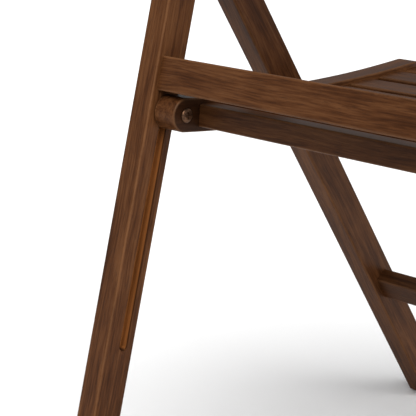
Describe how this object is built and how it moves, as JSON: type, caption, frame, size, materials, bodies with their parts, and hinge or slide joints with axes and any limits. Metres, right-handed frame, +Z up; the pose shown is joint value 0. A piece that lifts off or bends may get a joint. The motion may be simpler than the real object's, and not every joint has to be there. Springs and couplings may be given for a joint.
{
  "type": "folding chair",
  "caption": "Slatted wooden folding chair: straight front legs run up to a curved slat back, rear legs and seat fold flat between them.",
  "frame": {"origin": "on the floor, under the middle of the chair's box", "axes": "+Z up, the chair faces -Y, +X to the left hand of someone sitting in it"},
  "size_m": [0.4566, 0.5862, 0.7845],
  "materials": {
    "stained_wood": "dark brown stain under satin lacquer, fine straight grain",
    "dark_steel": "bronzed steel, satin",
    "glide_plastic": "matt dark brown"
  },
  "bodies": {
    "front_frame": {"front_leg_left": "stained_wood", "front_leg_right": "stained_wood", "cross_rail": "stained_wood", "front_stretcher": "stained_wood", "back_slat_low": "stained_wood", "back_slat_middle": "stained_wood", "crest_rail": "stained_wood", "hinge_leaf_front_left": "dark_steel", "hinge_leaf_front_right": "dark_steel", "hinge_leaf_front_left_screw_1": "dark_steel", "hinge_leaf_front_left_screw_2": "dark_steel", "hinge_leaf_front_right_screw_1": "dark_steel", "hinge_leaf_front_right_screw_2": "dark_steel", "hinge_pin_left": "dark_steel", "hinge_pin_right": "dark_steel", "glide_front_left": "glide_plastic", "glide_front_right": "glide_plastic"},
    "rear_frame": {"rear_leg_left": "stained_wood", "rear_leg_right": "stained_wood", "rear_stretcher": "stained_wood", "hinge_leaf_rear_left": "dark_steel", "hinge_leaf_rear_right": "dark_steel", "hinge_leaf_rear_left_screw_1": "dark_steel", "hinge_leaf_rear_left_screw_2": "dark_steel", "hinge_leaf_rear_right_screw_1": "dark_steel", "hinge_leaf_rear_right_screw_2": "dark_steel", "pivot_bolt_left": "dark_steel", "pivot_bolt_right": "dark_steel", "pivot_nut_left": "dark_steel", "pivot_nut_right": "dark_steel", "pivot_washer_left": "dark_steel", "pivot_washer_right": "dark_steel", "glide_rear_left": "glide_plastic", "glide_rear_right": "glide_plastic"},
    "seat": {"seat_side_rail_left": "stained_wood", "seat_side_rail_right": "stained_wood", "seat_front_bar": "stained_wood", "seat_rear_bar": "stained_wood", "seat_slat_1": "stained_wood", "seat_slat_2": "stained_wood", "seat_slat_3": "stained_wood", "seat_slat_4": "stained_wood", "seat_slat_5": "stained_wood", "seat_slat_6": "stained_wood", "slide_pin_left": "dark_steel", "slide_pin_right": "dark_steel"}
  },
  "joints": [
    {"name": "rear_frame_fold", "type": "hinge", "parent": "front_frame", "child": "rear_frame", "pos_m": [0, -0.11332, 0.55193], "axis": [-1, 0, 0], "range_deg": [0, 48.1]},
    {"name": "seat_fold", "type": "hinge", "parent": "rear_frame", "child": "seat", "pos_m": [0, 0.01323, 0.39244], "axis": [1, 0, 0], "range_deg": [0, 117.35]}
  ],
  "couplings": [
    {"joint": "seat_fold", "follows": "rear_frame_fold", "ratio": 2.4392}
  ]
}
